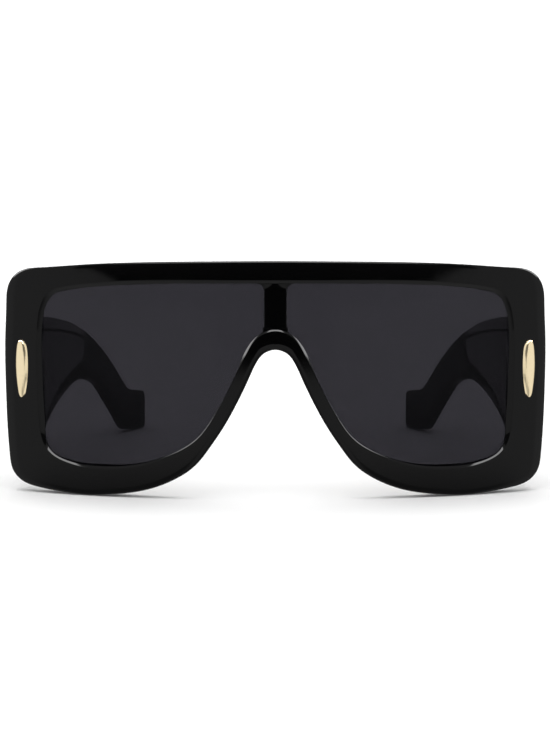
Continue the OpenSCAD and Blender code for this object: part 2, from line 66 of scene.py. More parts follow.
def makeCamera():
    data = bpy.data.cameras.new("photoCamera")
    data.sensor_width = cameraSetup["sensor"]
    data.lens = cameraSetup["focalPixels"] / cameraSetup["imageHeight"] * cameraSetup["sensor"]
    data.clip_start, data.clip_end = cameraSetup["clip"]
    camera = bpy.data.objects.new("photoCamera", data)
    camera.location = Vector(cameraSetup["place"]) * mm
    camera.rotation_euler = (math.radians(90 - cameraSetup["tiltDown"]), 0, 0)
    scene.collection.objects.link(camera)
    scene.camera = camera


makeCamera()

# mesh helpers


shadeAngles = {"acetate": 32, "lens": 30, "rounded": 50}


def smoothShade(piece, angle):
    piece.data.shade_smooth()
    piece.data.set_sharp_from_angle(angle=math.radians(angle))


def meshObject(name, points, faces):
    # points in millimetres, as an array of rows of three
    data = bpy.data.meshes.new(name)
    data.from_pydata((np.asarray(points) * mm).tolist(), [], faces)
    build = bmesh.new()
    build.from_mesh(data)
    bmesh.ops.recalc_face_normals(build, faces=build.faces)
    build.to_mesh(data)
    build.free()
    piece = bpy.data.objects.new(name, data)
    scene.collection.objects.link(piece)
    return piece


def sweepFaces(rows, columns, ring):
    # quads between neighbouring closed sections, with caps unless it is a ring
    faces = []
    for i in range(rows if ring else rows - 1):
        a, b = i * columns, ((i + 1) % rows) * columns
        for j in range(columns):
            k = (j + 1) % columns
            faces.append((a + j, b + j, b + k, a + k))
    if not ring:
        faces.append(tuple(range(columns)))
        faces.append(tuple(range((rows - 1) * columns, rows * columns)))
    return faces


def sweep(name, sections, ring=False):
    sections = np.asarray(sections, float)
    rows, columns = sections.shape[:2]
    return meshObject(name, sections.reshape(-1, 3), sweepFaces(rows, columns, ring))


def bakeModifiers(piece):
    # swaps the mesh for its modified one
    graph = bpy.context.evaluated_depsgraph_get()
    made = bpy.data.meshes.new_from_object(piece.evaluated_get(graph))
    piece.modifiers.clear()
    piece.data = made


def combine(piece, tools, operation):
    # joins or cuts the tools, and deletes them
    for tool in tools:
        step = piece.modifiers.new("shape", "BOOLEAN")
        step.operation, step.solver, step.object = operation, "EXACT", tool
    bakeModifiers(piece)
    for tool in tools:
        bpy.data.objects.remove(tool)


def roundEdges(piece, edges):
    # bevels the edges that are sharper than the angle, in a modifier
    step = piece.modifiers.new("edges", "BEVEL")
    step.width, step.segments, step.limit_method = edges["width"] * mm, edges["segments"], "ANGLE"
    step.angle_limit = math.radians(edges["angle"])


def mirrorPiece(piece, name):
    data = piece.data.copy()
    data.transform(Matrix.Scale(-1, 4, (1, 0, 0)))
    data.flip_normals()
    other = bpy.data.objects.new(name, data)
    scene.collection.objects.link(other)
    return other


def boxPiece(name, low, high):
    corners = [(x, y, z) for x in (low[0], high[0]) for y in (low[1], high[1]) for z in (low[2], high[2])]
    faces = [(0, 1, 3, 2), (4, 6, 7, 5), (0, 4, 5, 1), (2, 3, 7, 6), (0, 2, 6, 4), (1, 5, 7, 3)]
    return meshObject(name, corners, faces)


straight = math.radians(89.9)  # half the angle at a corner that needs no arc
arcShare = 0.48  # the most of a side that one corner's arc takes


def roundCorners(corners, radii, steps):
    # an open chain of 2-D corners with each inner one turned into an arc of the same number of points
    chain = [np.array(corners[0], float)]
    for i in range(1, len(corners) - 1):
        before, here, after = (np.array(c, float) for c in corners[i - 1:i + 2])
        toBefore, toAfter = before - here, after - here
        lengthBefore, lengthAfter = np.linalg.norm(toBefore), np.linalg.norm(toAfter)
        toBefore, toAfter = toBefore / lengthBefore, toAfter / lengthAfter
        half = 0.5 * math.acos(max(-1.0, min(1.0, float(toBefore @ toAfter))))
        if half > straight:
            chain += [here] * (steps + 1)
            continue
        reach = min(radii[i] / math.tan(half), arcShare * lengthBefore, arcShare * lengthAfter)
        radius = reach * math.tan(half)
        centre = here + (toBefore + toAfter) / np.linalg.norm(toBefore + toAfter) * radius / math.sin(half)
        start, end = here + toBefore * reach - centre, here + toAfter * reach - centre
        turn = math.pi - 2 * half
        for k in range(steps + 1):
            share = k / steps
            a = math.sin((1 - share) * turn) / math.sin(turn)
            b = math.sin(share * turn) / math.sin(turn)
            chain.append(centre + start * a + end * b)
    chain.append(np.array(corners[-1], float))
    return np.array(chain)


def closedCurve(points, steps):
    # smooth closed curve through the points, with the same number of steps in every span
    points = np.asarray(points, float)
    count = len(points)
    after = np.roll(points, -1, axis=0)
    span = np.linalg.norm(after - points, axis=1)
    before = np.roll(span, 1)
    matrix = np.zeros((count, count))
    for i in range(count):
        matrix[i, i - 1] = 1 / before[i]
        matrix[i, i] = 2 / before[i] + 2 / span[i]
        matrix[i, (i + 1) % count] = 1 / span[i]
    rise = (after - points) / span[:, None] ** 2
    slope = np.linalg.solve(matrix, 3 * (rise + np.roll(rise, 1, axis=0)))
    curve = []
    for k in range(steps):
        t = k / steps
        curve.append(points * (1 + 2 * t) * (1 - t) ** 2 + after * t * t * (3 - 2 * t)
                     + span[:, None] * (slope * t * (1 - t) ** 2
                                        - np.roll(slope, -1, axis=0) * t * t * (1 - t)))
    return np.stack(curve, axis=1).reshape(-1, 2)


def soften(curve, passes):
    for _ in range(passes):
        curve = 0.25 * np.roll(curve, 1, axis=0) + 0.5 * curve + 0.25 * np.roll(curve, -1, axis=0)
    return curve


def softenRun(values, passes):
    # the same for an open run, with its ends held
    for _ in range(passes):
        values[1:-1] = 0.25 * values[:-2] + 0.5 * values[1:-1] + 0.25 * values[2:]
    return values


def openCurve(points, steps):
    # spline through the points of an open run, the same as in the solids
    points = np.asarray(points, float)
    last = len(points) - 1
    curve = []
    for i in range(last):
        a, b, c, d = points[max(i - 1, 0)], points[i], points[i + 1], points[min(i + 2, last)]
        for k in range(steps):
            t = k / steps
            curve.append((2 * b + (c - a) * t + (2 * a - 5 * b + 4 * c - d) * t * t
                          + (3 * b - a - 3 * c + d) * t ** 3) / 2)
    curve.append(points[last])
    return np.array(curve)


# outlines of the front

frontPlan = {
    "wrapRadius": 190, "thickness": 5, "edge": 0.8, "brow": 5.1, "side": 9.8, "cheek": 7.6,
    "noseWidth": 54.7, "archHeight": 40.8, "noseRim": 3.8, "arch": 5.1, "bevelWidth": 1.3,
    "rearChamfer": 0.5, "lensSet": 1.8, "lensThickness": 2, "lensGap": 0.1, "lensHold": 1.5, "edgeGap": 0.2,
    "faceLand": 0.15, "landWidth": 1.6, "rearLand": 1.9, "rearLip": 1.0, "slopeFrom": (0.8, 1.1),
    "slopes": (0.75, 1.1), "roundFrom": (0.5, 0.8, 1.1), "rounds": (0.05, 0.15, 0.9), "wallLeast": 0.1,
    "lipRound": 0.1, "grooveRound": 0.1, "rearRound": 0.4, "topEdge": 0.45, "topFrom": 0.75,
    "landLeast": 2.1, "easeWidth": 2.6, "easeDepth": 0.45, "easeRound": 4, "noseEase": 0.35, "steps": 14,
    "softPasses": 10, "bevelPasses": 30, "cornerSteps": 6, "faceSteps": 7, "rearSteps": 3}

# Right half of the mask, clockwise from the middle of the brow: the outer point, how far in from it the
# opening lies, and how wide its bevel is, as shares of the sizes above.
browShares = [
    [0, 1, 0, 1, 0.65], [0.2889, 0.9978, 0, 0.973, 0.7], [0.528, 0.9931, 0.201, 0.946, 0.81],
    [0.7133, 0.9831, 0.412, 0.947, 0.88], [0.8588, 0.9716, 0.648, 1.033, 0.96],
    [0.9205, 0.9623, 0.828, 1.113, 1], [0.9624, 0.9322, 0.965, 1.079, 1.04],
    [0.9855, 0.8855, 1.041, 0.84, 1], [0.9922, 0.8141, 0.992, 0.591, 1],
    [0.9989, 0.6671, 0.978, 0.193, 1.02], [1, 0.4802, 0.991, 0, 1.09]]
cheekShares = [
    [0.9957, 0.2794, 1.013, 0.13, 1.15], [0.9887, 0.1541, 1.055, 0.586, 0.7],
    [0.978, 0.0923, 1.118, 0.81, 0.4], [0.9417, 0.0463, 1.058, 0.975, 0.34],
    [0.8722, 0.022, 0.847, 1.01, 0.34], [0.7859, 0.0077, 0.602, 1.0, 0.42],
    [0.6873, 0, 0.39, 1.017, 0.5], [0.5749, 0.0105, 0.119, 0.958, 0.45],
    [0.4611, 0.0351, -0.073, 0.913, 0.38]]
noseShares = [
    [1, 0.1298, 0.543, 1.197, 0.3], [0.7901, 0.2278, 0.732, 0.922, 0.24],
    [0.6365, 0.3589, 0.752, 0.554, 0.12], [0.507, 0.4889, 0.801, 0.448, 0.08],
    [0.3827, 0.6392, 0.846, 0.36, 0.05], [0.2626, 0.8064, 0.869, 0.28, 0.08],
    [0.1834, 0.9189, 0.815, 0.321, 0.48], [0.1178, 0.9727, 0.698, 0.613, 0.45],
    [0.0591, 0.9929, 0.382, 0.913, 0.34], [0, 1, 0, 1, 0.3]]


def frontOutlines(plan):
    # outer edge of the mask, edge of the opening's bevel on its face, and that bevel's width
    half, noseHalf = frontWidth / 2, plan["noseWidth"] / 2
    outer, inner, widths = [], [], []
    for shares, up in ((browShares, -plan["brow"]), (cheekShares, plan["cheek"])):
        for x, z, inX, inZ, bevel in shares:
            outer.append((x * half, z * frontHeight))
            inner.append((x * half - inX * plan["side"], z * frontHeight + inZ * up))
            widths.append(bevel * plan["bevelWidth"])
    for x, z, inX, inZ, bevel in noseShares:
        outer.append((x * noseHalf, z * plan["archHeight"]))
        inner.append((x * noseHalf + inX * plan["noseRim"], z * plan["archHeight"] + inZ * plan["arch"]))
        widths.append(bevel * plan["bevelWidth"])
    loops = []
    for rows in (outer, inner):
        whole = rows + [(-x, z) for x, z in rows[-2:0:-1]]
        loops.append(soften(closedCurve(whole, plan["steps"]), plan["softPasses"]))
    fitted = half / loops[0][:, 0].max()
    for loop in loops:
        loop[:, 0] *= fitted
    whole = np.array(widths + widths[-2:0:-1])
    share = np.arange(plan["steps"]) / plan["steps"]
    spread = (whole[:, None] * (1 - share) + np.roll(whole, -1)[:, None] * share).reshape(-1)
    return loops + [soften(spread, plan["bevelPasses"])]


def sag(x):
    return frontPlan["wrapRadius"] - np.sqrt(frontPlan["wrapRadius"] ** 2 - np.asarray(x) ** 2)


def outwards(loop):
    along = np.roll(loop, -1, axis=0) - np.roll(loop, 1, axis=0)
    normal = np.stack([-along[:, 1], along[:, 0]], axis=1)
    return normal / np.linalg.norm(normal, axis=1)[:, None]


def onWrap(points, depth):
    # points of the flat outline laid on the wrapped face, at a depth behind it
    points = np.asarray(points)
    return np.stack([points[..., 0], sag(points[..., 0]) + faceY + depth, points[..., 1]], axis=-1)


outerLoop, innerLoop, bevelLoop = frontOutlines(frontPlan)
outerNormal, innerNormal = outwards(outerLoop), outwards(innerLoop)

# mask front


def rimSection(plan, bevel, normal):
    # section of the opening's side, from the face round the groove to the back
    groove, back = plan["lensSet"] - plan["lensGap"], plan["thickness"]
    grooveBack = plan["lensSet"] + plan["lensThickness"] + plan["lensGap"]
    grooveOut = plan["lensHold"] - bevel + plan["edgeGap"]
    rearIn = plan["rearLip"] * abs(normal[0]) - bevel
    share = bevel / plan["bevelWidth"]
    slope = np.interp(share, plan["slopeFrom"], plan["slopes"])
    depth = min(slope * bevel, groove - plan["wallLeast"])
    corners = [(plan["faceLand"], 0), (0, 0), (-bevel, depth), (-bevel, groove), (grooveOut, groove),
               (grooveOut, grooveBack), (rearIn, grooveBack), (rearIn, back - plan["rearChamfer"]),
               (rearIn + plan["rearChamfer"], back), (plan["rearLand"], back)]
    faceRound = np.interp(share, plan["roundFrom"], plan["rounds"])
    radii = [0, faceRound, plan["lipRound"]] + [plan["grooveRound"]] * 4 + [plan["rearRound"]] * 2 + [0]
    return roundCorners(corners, radii, plan["cornerSteps"])


def outerSection(plan, normal, z, room):
    # section of the outer edge, from the back to the face; the face eases off towards the sides
    onTop = max(normal[1] - plan["topFrom"], 0) / (1 - plan["topFrom"]) * (z > frontHeight / 2)
    edge = min(plan["edge"] + (plan["topEdge"] - plan["edge"]) * onTop, room / plan["landLeast"])
    inNose = room < plan["side"] / 2 and z < plan["archHeight"] + plan["arch"]
    ease = abs(normal[0]) * (plan["noseEase"] if inNose else 1)
    width, back = max(min(plan["easeWidth"] * ease, room), edge * plan["landLeast"]), plan["thickness"]
    corners = [(-width, back), (0, back), (0, plan["easeDepth"] * ease), (-width, 0), (-width - edge, 0)]
    return roundCorners(corners, [0, edge, edge, plan["easeRound"], 0], plan["cornerSteps"])


def rimRing(plan):
    inside = np.array([rimSection(plan, *row) for row in zip(bevelLoop, innerNormal)])
    room = np.linalg.norm(outerLoop - innerLoop, axis=1) - plan["landWidth"] - plan["edge"]
    outside = np.array([outerSection(plan, *row) for row in zip(outerNormal, outerLoop[:, 1], room)])

    def edgePoint(loop, normal, section):
        return onWrap(loop + normal * section[:, :1], section[:, 1])

    columns = [edgePoint(innerLoop, innerNormal, inside[:, k]) for k in range(inside.shape[1])]
    rearIn, rearOut = columns[-1], edgePoint(outerLoop, outerNormal, outside[:, 0])
    columns += [rearIn + (rearOut - rearIn) * k / plan["rearSteps"] for k in range(1, plan["rearSteps"])]
    columns += [edgePoint(outerLoop, outerNormal, outside[:, k]) for k in range(outside.shape[1])]
    faceStart = outerLoop + outerNormal * outside[:, -1, :1]
    faceEnd = innerLoop + innerNormal * plan["faceLand"]
    for k in range(1, plan["faceSteps"]):
        columns.append(onWrap(faceStart + (faceEnd - faceStart) * k / plan["faceSteps"], 0))
    return sweep("maskFront", np.stack(columns, axis=1), ring=True)


barPlan = {"width": 6.1, "recess": 1, "topFillet": 2.1, "footFillet": 0.4, "edge": 0.2, "grooveRound": 0.05,
           "rearRound": 0.3, "footRise": 0.6, "stations": 80, "cornerSteps": 4}


def centreBar(plan, front):
    topZ = frontHeight - front["brow"] - bevelLoop[0]
    footZ = front["archHeight"] + front["arch"]
    groove = front["lensSet"] - front["lensGap"]
    grooveBack = front["lensSet"] + front["lensThickness"] + front["lensGap"]
    web = plan["width"] / 2 - front["lensHold"] - front["edgeGap"]
    sections = []
    for z in np.linspace(footZ - front["bevelWidth"], topZ + 2 * front["bevelWidth"], plan["stations"]):
        half = plan["width"] / 2
        for fillet, into in ((plan["topFillet"], z - topZ + plan["topFillet"]),
                             (plan["footFillet"], footZ + plan["footRise"] + plan["footFillet"] - z)):
            into = min(max(into, 0), fillet)
            half += fillet - math.sqrt(fillet ** 2 - into ** 2)
        right = roundCorners([(0, plan["recess"]), (half, plan["recess"]), (half, groove), (web, groove),
                              (web, grooveBack), (half, grooveBack), (half, front["thickness"]),
                              (0, front["thickness"])],
                             [0, plan["edge"]] + [plan["grooveRound"]] * 4 + [plan["rearRound"], 0],
                             plan["cornerSteps"])
        left = right[-2:0:-1] * (-1, 1)
        ring = np.concatenate([right, left])
        sections.append(np.stack([ring[:, 0], ring[:, 1] + faceY, np.full(len(ring), z)], axis=1))
    return sweep("centreBar", sections)


hingePlan = {"knuckle": 1.3, "knuckles": 5, "knuckleHeight": 2, "knuckleGap": 0.1, "sideGap": 0.2,
             "buttGap": 0.3, "leaf": 1, "frontLeafWidth": 6, "templeLeafLength": 12.5, "fit": 0.03,
             "lean": 2.7, "overcut": 1}
blockY = -hingePlan["knuckle"] - hingePlan["knuckleGap"]
templeX = hingePlan["knuckle"] + hingePlan["sideGap"]
templeY = blockY + hingePlan["buttGap"]
stackHeight = (hingePlan["knuckles"] * hingePlan["knuckleHeight"]
               + (hingePlan["knuckles"] - 1) * hingePlan["knuckleGap"])
stackZ = hingePlace.z - stackHeight / 2
blockPlan = {"low": 9, "top": 48, "slope": 2, "seat": 4.45, "underLeaf": 0.5, "corner": 0.25, "width": 0.35,
             "segments": 3, "angle": 30}


def atHinge(x, y, z):
    # from the hinge's own axes, with +Y back along the temple, into the frame's
    lean = math.radians(hingePlan["lean"])
    return (hingePlace.x + x * math.cos(lean) - y * math.sin(lean),
            hingePlace.y + x * math.sin(lean) + y * math.cos(lean), z)


def hingeTurned(piece):
    # a piece modelled in the hinge's axes, moved into the frame's
    place = Matrix.Translation(Vector((hingePlace.x, hingePlace.y, 0)) * mm)
    piece.data.transform(place @ Matrix.Rotation(math.radians(hingePlan["lean"]), 4, "Z"))
    return piece


def endBlock(plan, outerX):
    innerX = -hingePlan["knuckle"] - hingePlan["fit"] - plan["underLeaf"] * hingePlan["leaf"]
    inY = float(sag(hingePlace.x + innerX)) + plan["seat"] + faceY - hingePlace.y
    outY = float(sag(hingePlace.x + outerX)) + plan["seat"] + faceY - hingePlace.y
    edge = frontPlan["edge"]
    ring = [(innerX, inY), (outerX, outY), (outerX, blockY - edge), (outerX - edge, blockY),
            (innerX + plan["corner"] * hingePlan["leaf"], blockY), (innerX, blockY - hingePlan["leaf"])]
    points = []
    for base, sign in ((plan["low"], 1), (plan["top"], -1)):
        for x, y in ring:
            share = min(max((y - inY) / (blockY - inY), 0), 1)
            points.append((x, y, base + sign * plan["slope"] * share))
    count = len(ring)
    faces = [tuple(range(count)), tuple(range(count, 2 * count))]
    faces += [(j, (j + 1) % count, count + (j + 1) % count, count + j) for j in range(count)]
    block = meshObject("endBlock", points, faces)
    roundEdges(block, plan)
    bakeModifiers(block)
    return hingeTurned(block)


def makeFront():
    front = rimRing(frontPlan)
    blocks = [endBlock(blockPlan, templeX + templePlan["thickness"])]
    blocks.append(mirrorPiece(blocks[0], "endBlockLeft"))
    combine(front, [centreBar(barPlan, frontPlan)] + blocks, "UNION")
    fit = hingePlan["fit"]
    inX = -hingePlan["knuckle"] - fit
    recess = boxPiece("leafRecess", (inX, blockY - hingePlan["leaf"] - fit, stackZ - fit),
                      (inX + hingePlan["frontLeafWidth"] + 2 * fit, blockY + hingePlan["overcut"],
                       stackZ + stackHeight + fit))
    hingeTurned(recess)
    combine(front, [recess, mirrorPiece(recess, "leafRecessLeft")], "DIFFERENCE")
    smoothShade(front, shadeAngles["acetate"])
    front.data.materials.append(materials["frameAcetate"])
    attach(front, "front")
    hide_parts("front_frame")


# lenses


lensPlan = {"columns": 150, "rows": 40, "edge": 0.12, "reach": 0.985}


def makeLens(plan, front):
    edge = innerLoop + innerNormal * (front["lensHold"] - bevelLoop[:, None])
    half = edge[:len(edge) // 2 + 1]
    side = int(np.argmax(half[:, 0]))
    top, low = half[:side + 1], half[side:][::-1]
    startX, endX = barPlan["width"] / 2 - front["lensHold"], half[side, 0]
    along = (1 - np.cos(np.linspace(0, plan["reach"] * math.pi, plan["columns"]))) / 2
    xs = startX + (endX - startX) * along
    high = np.interp(xs, top[:, 0], top[:, 1])
    foot = np.interp(xs, low[:, 0], low[:, 1])
    shares = (1 - np.cos(np.linspace(0, math.pi, plan["rows"]))) / 2
    bevel = plan["edge"]
    sections = []
    for x, a, b in zip(xs, foot, high):
        zs = a + (b - a) * shares
        ring = [(x, bevel, zs[0])] + [(x, 0, z) for z in np.clip(zs, a + bevel, b - bevel)]
        ring.append((x, bevel, zs[-1]))
        back = [(x, front["lensThickness"] - d, z) for x, d, z in ring[::-1]]
        ring = np.array(ring + back)
        ring[:, 1] += sag(x) + faceY + front["lensSet"]
        sections.append(ring)
    return sweep("rightTintedLens", sections)


def makeLenses():
    right = makeLens(lensPlan, frontPlan)
    smoothShade(right, shadeAngles["lens"])
    right.data.materials.append(materials["tintedLens"])
    left = mirrorPiece(right, "leftTintedLens")
    for piece, node in ((right, "right_lens"), (left, "left_lens")):
        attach(piece, "front")
        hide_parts(node)


# temples

templePlan = {"length": 125.38, "top": 49, "thickness": 5, "tipThickness": 4.7, "tailLean": 20.9, "bend": 7,
              "bendShare": 0.6, "step": 0.8, "topBevel": 3.6, "underBevel": 6.4, "bevelDepth": 1.6,
              "edge": 0.7, "panelRound": 4.5, "crestRound": 0.9, "tipRadius": 2, "tipTaper": 3,
              "stations": 420, "spans": 12, "softPasses": 12, "cornerSteps": 5, "flatSteps": 6,
              "tipSteps": 10}
templeTopShares = [
    [0, 1], [0.14, 0.974], [0.25, 0.955], [0.33, 0.935], [0.491, 0.886], [0.618, 0.824], [0.678, 0.754],
    [0.735, 0.664], [0.793, 0.55], [0.829, 0.468], [0.86, 0.396], [0.884, 0.345]]
footTopShares = [[0.903, 0.319], [0.955, 0.301], [1, 0.288]]
templeUnderShares = [
    [0, 0.14], [0.055, 0.155], [0.105, 0.2], [0.146, 0.254], [0.198, 0.317], [0.24, 0.352], [0.29, 0.384],
    [0.352, 0.414], [0.453, 0.452], [0.545, 0.47], [0.61, 0.468], [0.662, 0.452], [0.692, 0.434],
    [0.724, 0.395], [0.753, 0.333], [0.779, 0.27], [0.829, 0.148], [0.859, 0.068]]
footUnderShares = [[0.88, 0.022], [0.94, 0], [1, 0]]


def templePlace(plan, s, out, z):
    # a point of the bent plate: s along it, out from its inner face, z up, in the hinge's axes
    turn = math.radians(plan["tailLean"] - hingePlan["lean"])
    bendStart = plan["length"] * plan["bendShare"]
    radius = plan["bend"] / turn
    angle = turn * min(max((s - bendStart) / plan["bend"], 0), 1)
    past = max(0, s - bendStart - plan["bend"])
    x = templeX - radius * (1 - math.cos(angle)) - past * math.sin(angle)
    y = templeY + min(s, bendStart) + radius * math.sin(angle) + past * math.cos(angle)
    return x + out * math.cos(angle), y + out * math.sin(angle), z


def templeSection(plan, s, topRun, underRun, drop=0.0):
    bendStart = plan["length"] * plan["bendShare"]
    tail = min(max((s - bendStart) / plan["bend"], 0), 1)
    tail = tail * tail * (3 - 2 * tail)
    inner = plan["step"] * tail + drop / plan["tipTaper"]
    thinning = (plan["tipThickness"] - plan["thickness"]) * s / plan["length"]
    outer = plan["thickness"] + thinning - drop / plan["tipTaper"]
    edge = plan["edge"]
    high = float(np.interp(s, topRun[:, 0], topRun[:, 1])) - drop
    low = float(np.interp(s, underRun[:, 0], underRun[:, 1])) + drop
    topBevel = edge + (plan["topBevel"] - edge) * (1 - tail)
    underBevel = edge + (plan["underBevel"] - edge) * (1 - tail)
    depth = edge + (plan["bevelDepth"] - edge) * (1 - tail)
    middle = (low + high) / 2
    chain = roundCorners([(inner, middle), (inner, high - topBevel), (inner + depth, high), (outer, high),
                          (outer, low), (inner + depth, low), (inner, low + underBevel), (inner, middle)],
                         [0, plan["panelRound"], plan["crestRound"], edge, edge, plan["crestRound"],
                          plan["panelRound"], 0], plan["cornerSteps"])
    outside = 3 * (plan["cornerSteps"] + 1)  # the point that the outer face starts from
    points = []
    for i in range(len(chain) - 1):  # the long flats get points of their own
        a, b = chain[i], chain[i + 1]
        pieces = plan["flatSteps"] if i in (0, outside, len(chain) - 2) else 1
        points += [a + (b - a) * k / pieces for k in range(pieces)]
    return [atHinge(*templePlace(plan, s, out, z)) for out, z in points]


def makeTemples(plan):
    runs = []
    for spline, foot in ((templeTopShares, footTopShares), (templeUnderShares, footUnderShares)):
        run = np.concatenate([openCurve(spline, plan["spans"]), np.array(foot)])
        run *= (plan["length"], plan["top"])
        fine = np.linspace(0, plan["length"], plan["stations"])
        heights = softenRun(np.interp(fine, run[:, 0], run[:, 1]), plan["softPasses"])
        runs.append(np.stack([fine, np.maximum(heights, 0)], axis=1))
    untilTip = plan["length"] - plan["tipRadius"]
    sections = [templeSection(plan, untilTip * j / plan["stations"], *runs)
                for j in range(plan["stations"] + 1)]
    for angle in np.linspace(0, math.pi / 2, plan["tipSteps"] + 1)[1:]:
        sections.append(templeSection(plan, untilTip + plan["tipRadius"] * math.sin(angle), *runs,
                                      drop=plan["tipRadius"] * (1 - math.cos(angle))))
    right = sweep("rightTempleArm", sections)
    fit = hingePlan["fit"]
    over = hingePlan["overcut"]
    recess = boxPiece("plateRecess", (templeX - over, templeY - over, stackZ - fit),
                      (templeX + hingePlan["leaf"] + fit, templeY + hingePlan["templeLeafLength"] + fit,
                       stackZ + stackHeight + fit))
    combine(right, [hingeTurned(recess)], "DIFFERENCE")
    smoothShade(right, shadeAngles["acetate"])
    right.data.materials.append(materials["templeAcetate"])
    left = mirrorPiece(right, "leftTempleArm")
    for piece, side in ((right, "right"), (left, "left")):
        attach(piece, side + "_temple")
        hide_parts(side + "_temple")


# gilt drops

dropPlan = {"length": 16.05, "width": 3.85, "height": 0.8, "inset": 5.3, "middleZ": 34.6, "sink": 0.02,
            "endPower": 0.18, "endFill": 0.3, "stations": 72, "across": 32, "weld": 0.004, "fine": 240,
            "softPasses": 12, "domeSteps": 8}
# up the drop: height, then its outer and inner half-widths
dropShares = [
    [0, 0.04, -0.04], [0.006, 0.2, 0.14], [0.023, 0.34, 0.3], [0.062, 0.5, 0.48], [0.101, 0.58, 0.57],
    [0.179, 0.69, 0.7], [0.257, 0.785, 0.81], [0.335, 0.86, 0.9], [0.412, 0.91, 0.95], [0.49, 0.94, 0.98],
    [0.568, 0.95, 1], [0.646, 0.93, 1], [0.724, 0.89, 0.98], [0.8, 0.83, 0.94], [0.879, 0.73, 0.84],
    [0.918, 0.65, 0.72], [0.957, 0.52, 0.5], [0.985, 0.32, 0.25], [0.995, 0.18, 0.1], [1, 0.05, -0.05]]
# across it: place from the inner edge to the outer one, and height
domeShares = [
    [-1, 0], [-0.97, 0.09], [-0.7, 0.8], [-0.55, 0.93], [-0.38, 0.985], [-0.15, 1], [0.2, 1], [0.55, 0.95],
    [0.8, 0.8], [0.95, 0.5], [1, 0]]


def makeDrops(plan):
    shares, dome = np.array(dropShares), openCurve(domeShares, plan["domeSteps"])
    fine = np.linspace(0, 1, plan["fine"])
    halves = [softenRun(np.interp(fine, shares[:, 0], shares[:, c]), plan["softPasses"]) for c in (1, 2)]
    stations, across = plan["stations"], plan["across"]
    x = frontWidth / 2 - plan["inset"]
    turn = math.asin(x / frontPlan["wrapRadius"])
    points, faces = [], []
    for i in range(stations + 1):
        u = (1 - math.cos(math.pi * i / stations)) / 2
        outer, inner = (np.interp(u, fine, half) * plan["width"] / 2 for half in halves)
        share = (4 * u * (1 - u)) ** plan["endPower"]
        crown = plan["height"] * share
        outer += plan["endFill"] * (1 - share)
        for k in range(across + 1):
            side = -math.cos(math.pi * k / across)
            height = crown * max(float(np.interp(side, dome[:, 0], dome[:, 1])), 0)
            sideways = (outer - inner) / 2 + side * (outer + inner) / 2
            points.append((sideways, -height, (u - 0.5) * plan["length"]))
    for i in range(stations):
        for k in range(across):
            a = i * (across + 1) + k
            faces.append((a, a + 1, a + across + 2, a + across + 1))
        a, b = i * (across + 1), (i + 1) * (across + 1)
        faces.append((a, b, b + across, a + across))
    right = meshObject("rightGiltDrop", points, faces)
    build = bmesh.new()
    build.from_mesh(right.data)
    bmesh.ops.remove_doubles(build, verts=build.verts, dist=plan["weld"] * mm)
    bmesh.ops.dissolve_degenerate(build, dist=plan["weld"] / 2 * mm, edges=build.edges)
    bmesh.ops.holes_fill(build, edges=build.edges)
    bmesh.ops.recalc_face_normals(build, faces=build.faces)
    build.to_mesh(right.data)
    build.free()
    place = Matrix.Translation(Vector((x, float(sag(x)) + faceY + plan["sink"], plan["middleZ"])) * mm)
    right.data.transform(place @ Matrix.Rotation(turn, 4, "Z"))
    smoothShade(right, shadeAngles["rounded"])
    right.data.materials.append(materials["gilt"])
    left = mirrorPiece(right, "leftGiltDrop")
    for piece, side in ((right, "right"), (left, "left")):
        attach(piece, "front")
        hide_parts(side + "_drop")


# nose pads

padPlan = {"height": 2.8, "width": 2.3, "fromShare": 0.22, "toShare": 0.72, "reach": 1.1, "endHeight": 0.12,
           "heightPower": 0.7, "endWidth": 0.55, "widthPower": 0.5, "lift": 0.02, "cornerSteps": 5}
# Round the pad's section, from the rim to the nose: share of the rim's edge inwards, share of the pad's
# width inwards, share of its height, rounding.
padShares = [[1, 1, 0, 0], [1, 0.75, 0.55, 0.8], [1, 0.3, 1, 0.7], [0.6, 0, 0.9, 0.5], [0.4, 0, 0.45, 0.8],
             [1, 0, 0, 0]]


def makePads(plan):
    half = len(outerLoop) // 2
    noseSpan = (len(noseShares) - 1) * frontPlan["steps"]
    first = half - round(noseSpan * (1 - plan["fromShare"]) * plan["reach"])
    last = half - round(noseSpan * (1 - plan["toShare"]) * plan["reach"])
    edge, back = frontPlan["edge"], frontPlan["thickness"]
    sections = []
    for i in range(first, last + 1):
        swell = max(math.sin(math.pi * (i - first) / (last - first)), 0)
        rise = plan["height"] * (plan["endHeight"] + (1 - plan["endHeight"]) * swell ** plan["heightPower"])
        inset = plan["width"] * (plan["endWidth"] + (1 - plan["endWidth"]) * swell ** plan["widthPower"])
        corners = [(-edge * rim - inset * wide, back + (rise * high if high else plan["lift"]))
                   for rim, wide, high, radius in padShares]
        ring = roundCorners(corners, [row[3] for row in padShares], plan["cornerSteps"])
        sections.append([onWrap(outerLoop[i] + outerNormal[i] * out, depth) for out, depth in ring])
    right = sweep("rightNosePad", sections)
    smoothShade(right, shadeAngles["rounded"])
    right.data.materials.append(materials["padAcetate"])
    left = mirrorPiece(right, "leftNosePad")
    for piece, side in ((right, "right"), (left, "left")):
        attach(piece, "front")
        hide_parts(side + "_nose_pad")


# materials


def newGroup(name, inputs, outputs):
    group = bpy.data.node_groups.new(name, "ShaderNodeTree")
    for label, kind, value in inputs:
        socket = group.interface.new_socket(label, in_out="INPUT", socket_type=kind)
        socket.default_value = value
    for label, kind in outputs:
        group.interface.new_socket(label, in_out="OUTPUT", socket_type=kind)
    return group, group.nodes.new("NodeGroupInput"), group.nodes.new("NodeGroupOutput")


